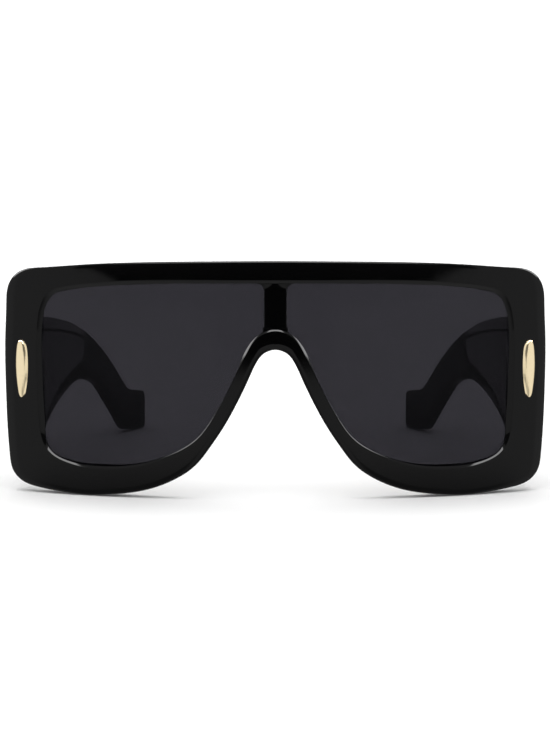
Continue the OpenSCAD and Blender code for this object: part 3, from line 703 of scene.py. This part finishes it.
def addNode(tree, kind, **values):
    node = tree.nodes.new(kind)
    for key, value in values.items():
        if key.startswith("in_"):
            node.inputs[key[3:].replace("_", " ")].default_value = value
        else:
            setattr(node, key, value)
    return node


polishPlan = {"cloudDetail": 4.0, "cloudRough": 0.55, "stretch": (90.0, 900.0, 2400.0),
              "turn": (0.3, 0.5, 0.8), "hairDetail": 2.0, "hairFrom": 0.62, "hairTo": 0.75,
              "cloudFrom": 0.35, "cloudTo": 0.7, "hairRough": 0.12}


def makePolishGroup(plan):
    # buffed gloss: slow clouds of haze and faint hairlines, as a roughness and a height
    group, given, out = newGroup("buffedPolish", [
        ("Cloud Scale", "NodeSocketFloat", 60.0), ("Smooth", "NodeSocketFloat", 0.05),
        ("Hazy", "NodeSocketFloat", 0.12), ("Hairline", "NodeSocketFloat", 0.3)],
        [("Roughness", "NodeSocketFloat"), ("Height", "NodeSocketFloat")])
    links = group.links
    coords = addNode(group, "ShaderNodeTexCoord")
    clouds = addNode(group, "ShaderNodeTexNoise", in_Detail=plan["cloudDetail"],
                     in_Roughness=plan["cloudRough"])
    links.new(coords.outputs["Object"], clouds.inputs["Vector"])
    links.new(given.outputs["Cloud Scale"], clouds.inputs["Scale"])
    stretch = addNode(group, "ShaderNodeMapping", in_Scale=plan["stretch"], in_Rotation=plan["turn"])
    links.new(coords.outputs["Object"], stretch.inputs["Vector"])
    hairs = addNode(group, "ShaderNodeTexNoise", in_Scale=1.0, in_Detail=plan["hairDetail"])
    links.new(stretch.outputs["Vector"], hairs.inputs["Vector"])
    thin = addNode(group, "ShaderNodeMapRange", in_From_Min=plan["hairFrom"], in_From_Max=plan["hairTo"])
    links.new(hairs.outputs["Fac"], thin.inputs["Value"])
    hairWeight = addNode(group, "ShaderNodeMath", operation="MULTIPLY")
    links.new(thin.outputs["Result"], hairWeight.inputs[0])
    links.new(given.outputs["Hairline"], hairWeight.inputs[1])
    spread = addNode(group, "ShaderNodeMapRange", in_From_Min=plan["cloudFrom"], in_From_Max=plan["cloudTo"])
    links.new(clouds.outputs["Fac"], spread.inputs["Value"])
    links.new(given.outputs["Smooth"], spread.inputs["To Min"])
    links.new(given.outputs["Hazy"], spread.inputs["To Max"])
    scratched = addNode(group, "ShaderNodeMath", operation="MULTIPLY_ADD", use_clamp=True)
    links.new(hairWeight.outputs["Value"], scratched.inputs[0])
    scratched.inputs[1].default_value = plan["hairRough"]
    links.new(spread.outputs["Result"], scratched.inputs[2])
    links.new(scratched.outputs["Value"], out.inputs["Roughness"])
    height = addNode(group, "ShaderNodeMath", operation="SUBTRACT")
    links.new(clouds.outputs["Fac"], height.inputs[0])
    links.new(hairWeight.outputs["Value"], height.inputs[1])
    links.new(height.outputs["Value"], out.inputs["Height"])
    return group


driftDetail = 3.0


def makeTintGroup():
    # two near shades, drifting through the material
    group, given, out = newGroup("driftingShade", [
        ("Scale", "NodeSocketFloat", 80.0), ("Shade", "NodeSocketColor", (0.5, 0.5, 0.5, 1)),
        ("Other Shade", "NodeSocketColor", (0.4, 0.4, 0.4, 1))], [("Color", "NodeSocketColor")])
    coords = addNode(group, "ShaderNodeTexCoord")
    drift = addNode(group, "ShaderNodeTexNoise", in_Detail=driftDetail)
    group.links.new(coords.outputs["Object"], drift.inputs["Vector"])
    group.links.new(given.outputs["Scale"], drift.inputs["Scale"])
    mix = addNode(group, "ShaderNodeMix", data_type="RGBA")  # its colours are sockets 6, 7 and 2
    group.links.new(drift.outputs["Fac"], mix.inputs["Factor"])
    group.links.new(given.outputs["Shade"], mix.inputs[6])
    group.links.new(given.outputs["Other Shade"], mix.inputs[7])
    group.links.new(mix.outputs[2], out.inputs["Color"])
    return group


groups = {}
finishes = {
    "frameAcetate": {"shade": (0.0005, 0.0005, 0.0006, 1), "other": (0.0003, 0.0003, 0.0004, 1),
                     "smooth": 0.03, "hazy": 0.07, "hair": 0.35, "bump": 0.012, "clouds": 90.0,
                     "level": 0.16, "metal": 0.0},
    "templeAcetate": {"shade": (0.0006, 0.0006, 0.0007, 1), "other": (0.0004, 0.0004, 0.0005, 1),
                      "smooth": 0.03, "hazy": 0.08, "hair": 0.4, "bump": 0.012, "clouds": 70.0,
                      "level": 0.42, "metal": 0.0},
    "padAcetate": {"shade": (0.002, 0.002, 0.0022, 1), "other": (0.0012, 0.0012, 0.0013, 1), "smooth": 0.1,
                   "hazy": 0.2, "hair": 0.5, "bump": 0.02, "clouds": 220.0, "level": 0.16, "metal": 0.0},
    "gilt": {"shade": (0.92, 0.78, 0.52, 1), "other": (0.88, 0.73, 0.47, 1), "smooth": 0.1, "hazy": 0.15,
             "hair": 0.5, "bump": 0.01, "clouds": 400.0, "level": 0.5, "metal": 1.0},
    "hingeMetal": {"shade": (0.8, 0.66, 0.42, 1), "other": (0.68, 0.55, 0.34, 1), "smooth": 0.24,
                   "hazy": 0.3, "hair": 0.4, "bump": 0.02, "clouds": 350.0, "level": 0.5, "metal": 1.0},
    "screwSteel": {"shade": (0.62, 0.61, 0.6, 1), "other": (0.5, 0.49, 0.48, 1), "smooth": 0.18,
                   "hazy": 0.34, "hair": 1.0, "bump": 0.05, "clouds": 900.0, "level": 0.5, "metal": 1.0},
    "coreSteel": {"shade": (0.55, 0.55, 0.56, 1), "other": (0.45, 0.45, 0.46, 1), "smooth": 0.25,
                  "hazy": 0.4, "hair": 1.0, "bump": 0.04, "clouds": 500.0, "level": 0.5, "metal": 1.0},
}


bumpDistance = 0.2 * mm


def makeFinish(name, finish):
    material = bpy.data.materials.new(name)
    material.use_nodes = True
    tree = material.node_tree
    shader = next(n for n in tree.nodes if n.type == "BSDF_PRINCIPLED")
    shader.inputs["Metallic"].default_value = finish["metal"]
    shader.inputs["Specular IOR Level"].default_value = finish["level"]
    shade = addNode(tree, "ShaderNodeGroup", node_tree=groups["shade"], in_Scale=finish["clouds"])
    shade.inputs["Shade"].default_value = finish["shade"]
    shade.inputs["Other Shade"].default_value = finish["other"]
    tree.links.new(shade.outputs["Color"], shader.inputs["Base Color"])
    polish = addNode(tree, "ShaderNodeGroup", node_tree=groups["polish"], in_Smooth=finish["smooth"],
                     in_Hazy=finish["hazy"], in_Hairline=finish["hair"], in_Cloud_Scale=finish["clouds"])
    tree.links.new(polish.outputs["Roughness"], shader.inputs["Roughness"])
    bump = addNode(tree, "ShaderNodeBump", in_Strength=finish["bump"], in_Distance=bumpDistance)
    tree.links.new(polish.outputs["Height"], bump.inputs["Height"])
    tree.links.new(bump.outputs["Normal"], shader.inputs["Normal"])
    return material


lensFinish = {"tint": (0.0262, 0.0252, 0.0302, 1), "otherTint": (0.0252, 0.0243, 0.029, 1), "drift": 30.0,
              "ior": 1.08, "clear": 0.92, "smooth": 0.0}


def makeLensMaterial(finish):
    material = bpy.data.materials.new("tintedLens")
    material.use_nodes = True
    tree = material.node_tree
    shader = next(n for n in tree.nodes if n.type == "BSDF_PRINCIPLED")
    shader.inputs["Transmission Weight"].default_value = finish["clear"]
    shader.inputs["IOR"].default_value = finish["ior"]
    shade = addNode(tree, "ShaderNodeGroup", node_tree=groups["shade"], in_Scale=finish["drift"])
    shade.inputs["Shade"].default_value = finish["tint"]
    shade.inputs["Other Shade"].default_value = finish["otherTint"]
    tree.links.new(shade.outputs["Color"], shader.inputs["Base Color"])
    shader.inputs["Roughness"].default_value = finish["smooth"]
    return material


def makeMaterials():
    groups["polish"] = makePolishGroup(polishPlan)
    groups["shade"] = makeTintGroup()
    made = {name: makeFinish(name, finish) for name, finish in finishes.items()}
    made["tintedLens"] = makeLensMaterial(lensFinish)
    return made


materials = makeMaterials()
print("materials made")
makeFront()
print("mask front made")
makeLenses()
print("lenses made")
makeTemples(templePlan)
print("temples made")
makeDrops(dropPlan)
makePads(padPlan)
print("drops and pads made")

cadFinishes = {"front_leaf": "hingeMetal", "temple_leaf": "hingeMetal", "front_rivets": "hingeMetal",
               "temple_rivets": "hingeMetal", "hinge_screw": "screwSteel", "core_wire": "coreSteel"}
metalEdge = {"width": 0.06, "segments": 2, "angle": 40}
for side in ("left", "right"):
    for part, finish in cadFinishes.items():
        node = frame["nodes"][side + "_" + part]
        node.data.materials.clear()
        node.data.materials.append(materials[finish])
        roundEdges(node, metalEdge)

# stage

stagePlan = {"floorHalf": 6.0, "floorShade": (0.93, 0.93, 0.93, 1), "seen": 1.3, "skyLight": 0.9,
             "topLight": 2.9, "topFrom": 56, "topTo": 66, "fromBehind": 0.5}


def makeFloor():
    half = stagePlan["floorHalf"]
    data = bpy.data.meshes.new("paleFloor")
    corners = [(-half, -half, 0), (half, -half, 0), (half, half, 0), (-half, half, 0)]
    data.from_pydata(corners, [], [(0, 1, 2, 3)])
    floor = bpy.data.objects.new("paleFloor", data)
    scene.collection.objects.link(floor)
    material = bpy.data.materials.new("paleFloor")
    material.use_nodes = True
    shader = next(n for n in material.node_tree.nodes if n.type == "BSDF_PRINCIPLED")
    shader.inputs["Base Color"].default_value = stagePlan["floorShade"]
    shader.inputs["Roughness"].default_value = 1.0
    shader.inputs["Specular IOR Level"].default_value = 0.0
    data.materials.append(material)
    floor.visible_glossy = False


# The studio as the gloss sees it. Angles are in degrees: "wide" ones go from the camera's side round the
# object, "high" ones up from the horizon.
studioPlan = {
    # the room's own light, dimmer behind the object
    "grey": 0.95, "rear": 0.35, "rearFrom": 85, "rearTo": 105,
    # a dimmer stretch of floor on each side in front
    "dip": 0.38, "dipFrom": -8.8, "dipLow": -11.4, "dipEnd": -40, "dipOut": -70, "dipInner": 11,
    "dipWide": 52, "dipSoft": 5,
    # the dark round the camera, narrow at its foot
    "dark": 0.04, "darkFoot": -5.5, "footSoft": 0.08, "darkTop": 30, "darkNarrow": 12, "darkFootFrom": -3.0,
    "darkFootTo": -2.2, "darkWide": 32.5, "darkSoft": 0.8, "darkWiden": 10, "darkHigh": 0.16,
    "darkHighFrom": -1.8, "darkHighTo": -0.4,
    # soft boxes above the camera and on both sides
    "frontBox": 16.0, "frontWide": 43, "frontLow": 40, "frontHigh": 76, "frontSoft": 3.0,
    "sideBox": 16.0, "sideFrom": 71, "sideTo": 112, "sideLow": 19.6, "sideHigh": 47, "sideSoft": 1.2,
    "boxSoft": 0.6,
    # panels behind with two dark lines across them, and a strip beside them
    "panelLight": 0.5, "panelFrom": 158, "panelSoft": 2.0, "panelLines": (-8.9, -0.6),
    "lineHalf": (1.5, 2.2), "lineDark": 0.15,
    "tailLight": 0.7, "tailFrom": 124, "tailTo": 138, "tailLow": -6.8, "tailSoft": 1.0}


def makeStudio():
    # a white studio for light and for what is seen, and soft boxes round a dark camera side for reflections
    world = bpy.data.worlds.new("studio")
    scene.world = world
    world.use_nodes = True
    tree = world.node_tree
    tree.nodes.clear()
    links = tree.links
    plan, light = studioPlan, stagePlan

    def mathNode(operation, *values):
        node = addNode(tree, "ShaderNodeMath", operation=operation)
        for i, value in enumerate(values):
            if isinstance(value, (int, float)):
                node.inputs[i].default_value = value
            else:
                links.new(value, node.inputs[i])
        return node.outputs[0]

    def ramp(value, low, high, toLow, toHigh):
        node = addNode(tree, "ShaderNodeMapRange", in_From_Min=low, in_From_Max=high,
                       interpolation_type="SMOOTHSTEP")
        for label, given in (("To Min", toLow), ("To Max", toHigh)):
            if isinstance(given, (int, float)):
                node.inputs[label].default_value = given
            else:
                links.new(given, node.inputs[label])
        links.new(value, node.inputs["Value"])
        return node.outputs["Result"]

    def window(value, low, high, soft):
        # 1 between two angles, 0 outside them
        return mathNode("MULTIPLY", ramp(value, low - soft, low + soft, 0.0, 1.0),
                        ramp(value, high - soft, high + soft, 1.0, 0.0))

    def both(*values):
        product = values[0]
        for value in values[1:]:
            product = mathNode("MULTIPLY", product, value)
        return product

    coords = addNode(tree, "ShaderNodeTexCoord")
    split = addNode(tree, "ShaderNodeSeparateXYZ")
    links.new(coords.outputs["Generated"], split.inputs[0])
    x, y, z = split.outputs
    degrees = 180 / math.pi
    azimuth = both(mathNode("ARCTAN2", x, both(y, -1.0)), degrees)
    high = both(mathNode("ARCSINE", z), degrees)
    wide = mathNode("ABSOLUTE", azimuth)
    soft = plan["boxSoft"]
    grey = ramp(wide, plan["rearFrom"], plan["rearTo"], plan["grey"], plan["rear"])
    dip = both(ramp(high, plan["dipLow"], plan["dipFrom"], 1.0, 0.0),
               ramp(high, plan["dipOut"], plan["dipEnd"], 0.0, 1.0),
               window(wide, plan["dipInner"], plan["dipWide"], plan["dipSoft"]))
    grey = both(grey, mathNode("SUBTRACT", 1.0, both(dip, 1 - plan["dip"])))
    # the dark room round the camera
    narrow = ramp(high, plan["darkFootFrom"], plan["darkFootTo"], plan["darkNarrow"], plan["darkWide"])
    reach = mathNode("ADD", narrow,
                     ramp(high, plan["darkHighFrom"], plan["darkHighTo"], 0.0, plan["darkWiden"]))
    inDark = both(ramp(mathNode("SUBTRACT", wide, reach), -plan["darkSoft"], plan["darkSoft"], 1.0, 0.0),
                  window(high, plan["darkFoot"], plan["darkTop"], plan["footSoft"]))
    dark = ramp(high, plan["darkHighFrom"], plan["darkHighTo"], plan["dark"], plan["darkHigh"])
    room = mathNode("ADD", both(grey, mathNode("SUBTRACT", 1.0, inDark)), both(dark, inDark))
    # soft boxes above the camera and on both sides
    frontBox = both(window(wide, -180, plan["frontWide"], plan["frontSoft"]),
                    window(high, plan["frontLow"], plan["frontHigh"], soft), plan["frontBox"])
    sideBox = both(window(wide, plan["sideFrom"], plan["sideTo"], plan["sideSoft"]),
                   window(high, plan["sideLow"], plan["sideHigh"], soft), plan["sideBox"])
    boxes = mathNode("ADD", frontBox, sideBox)
    # light panels behind, which the insides of the temples show
    lines = 1.0
    for line, half in zip(plan["panelLines"], plan["lineHalf"]):
        shut = both(window(high, line - half, line + half, soft), 1 - plan["lineDark"])
        lines = mathNode("MULTIPLY", lines, mathNode("SUBTRACT", 1.0, shut))
    behind = ramp(wide, plan["panelFrom"] - plan["panelSoft"], plan["panelFrom"] + plan["panelSoft"],
                  0.0, 1.0)
    room = both(room, mathNode("SUBTRACT", 1.0, both(behind, mathNode("SUBTRACT", 1.0, lines))))
    tail = both(window(wide, plan["tailFrom"], plan["tailTo"], plan["panelSoft"]),
                ramp(high, plan["tailLow"] - plan["tailSoft"], plan["tailLow"] + plan["tailSoft"],
                     0.0, plan["tailLight"]))
    panels = mathNode("ADD", both(behind, lines, plan["panelLight"]), tail)
    studio = mathNode("ADD", mathNode("ADD", room, panels), boxes)
    path = addNode(tree, "ShaderNodeLightPath")
    mirrored = both(path.outputs["Is Glossy Ray"],
                    mathNode("SUBTRACT", 1.0, path.outputs["Is Transmission Ray"]))
    # matt surfaces see a sky that is brighter behind the object; everything else sees white
    sky = both(mathNode("MULTIPLY_ADD", y, light["fromBehind"], 1.0),
               ramp(high, light["topFrom"], light["topTo"], light["skyLight"], light["topLight"]))
    sky = mathNode("MAXIMUM", sky, 0.0)
    plain = mathNode("ADD", both(path.outputs["Is Diffuse Ray"], sky),
                     both(mathNode("SUBTRACT", 1.0, path.outputs["Is Diffuse Ray"]), light["seen"]))
    mix = addNode(tree, "ShaderNodeMix", data_type="FLOAT")
    links.new(mirrored, mix.inputs["Factor"])
    links.new(plain, mix.inputs[2])
    links.new(studio, mix.inputs[3])
    background = addNode(tree, "ShaderNodeBackground", in_Color=(1, 1, 1, 1))
    links.new(mix.outputs[0], background.inputs["Strength"])
    output = addNode(tree, "ShaderNodeOutputWorld")
    links.new(background.outputs[0], output.inputs[0])


makeFloor()
makeStudio()
scene.view_settings.view_transform = "Standard"
scene.view_settings.look = "None"
print("stage made")
